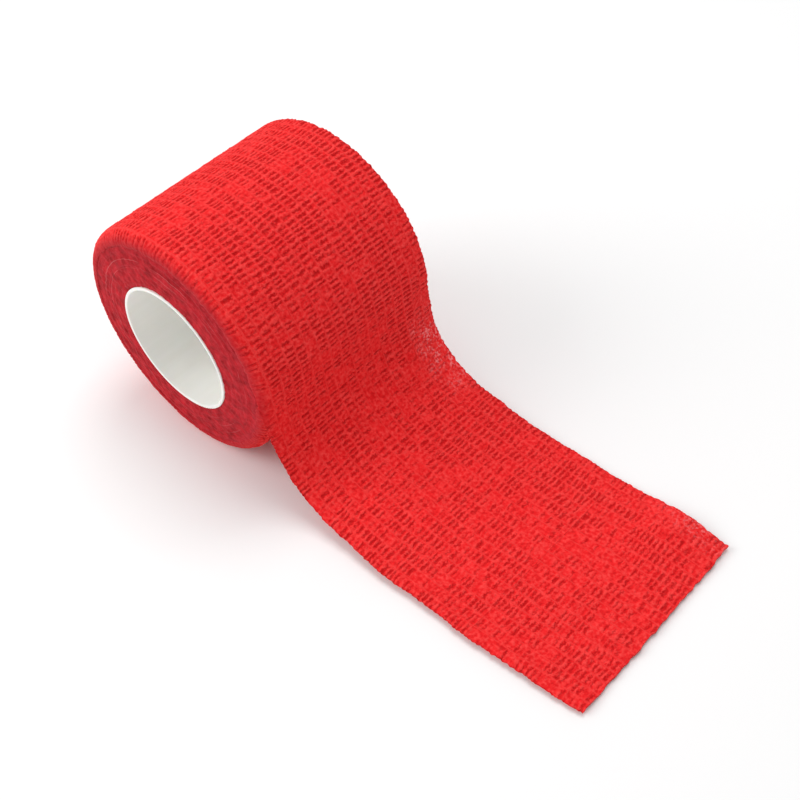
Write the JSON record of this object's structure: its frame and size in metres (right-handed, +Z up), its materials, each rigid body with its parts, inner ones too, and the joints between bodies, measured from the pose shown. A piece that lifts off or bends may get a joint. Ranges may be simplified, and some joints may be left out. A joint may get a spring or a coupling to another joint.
{
  "type": "hand wrap",
  "caption": "Roll of self-gripping elastic hand wrap on a thin plastic core, lying on its side with its free end paid out flat.",
  "frame": {"origin": "centre of the core tube's bore, midway along the roll's width", "axes": "+Y along the roll's axis, +X the way the free end runs out, +Z up"},
  "size_m": [0.1384, 0.05, 0.0572],
  "materials": {
    "strip_web": "gathered non-woven web with a soft self-gripping coat",
    "elastic_thread": "fine elastic threads along the strip, slightly lighter than the web",
    "core_plastic": "satin white moulded polypropylene"
  },
  "bodies": {
    "strip": {"outer_turn": "strip_web", "outer_turn_threads": "elastic_thread", "leaving_span": "strip_web", "leaving_span_threads": "elastic_thread"},
    "spool": {"core_tube": "core_plastic", "wound_pack": "strip_web"},
    "tail": {"tail_run": "strip_web", "tail_run_threads": "elastic_thread"},
    "free_end": {"tail_end": "strip_web", "tail_end_threads": "elastic_thread"}
  },
  "joints": [
    {"name": "payout", "type": "slide", "parent": "strip", "child": "tail", "axis": [1, 0, 0], "range_m": [0, 0.03]},
    {"name": "spool_turn", "type": "hinge", "parent": "strip", "child": "spool", "pos_m": [0, 0, 0], "axis": [0, 1, 0], "range_deg": [0, 62]},
    {"name": "end_lift", "type": "hinge", "parent": "tail", "child": "free_end", "pos_m": [0.084, 0, -0.0278], "axis": [0, -1, 0], "range_deg": [0, 75]}
  ],
  "couplings": [
    {"joint": "spool_turn", "follows": "payout", "rad_per_m": 35.46}
  ]
}
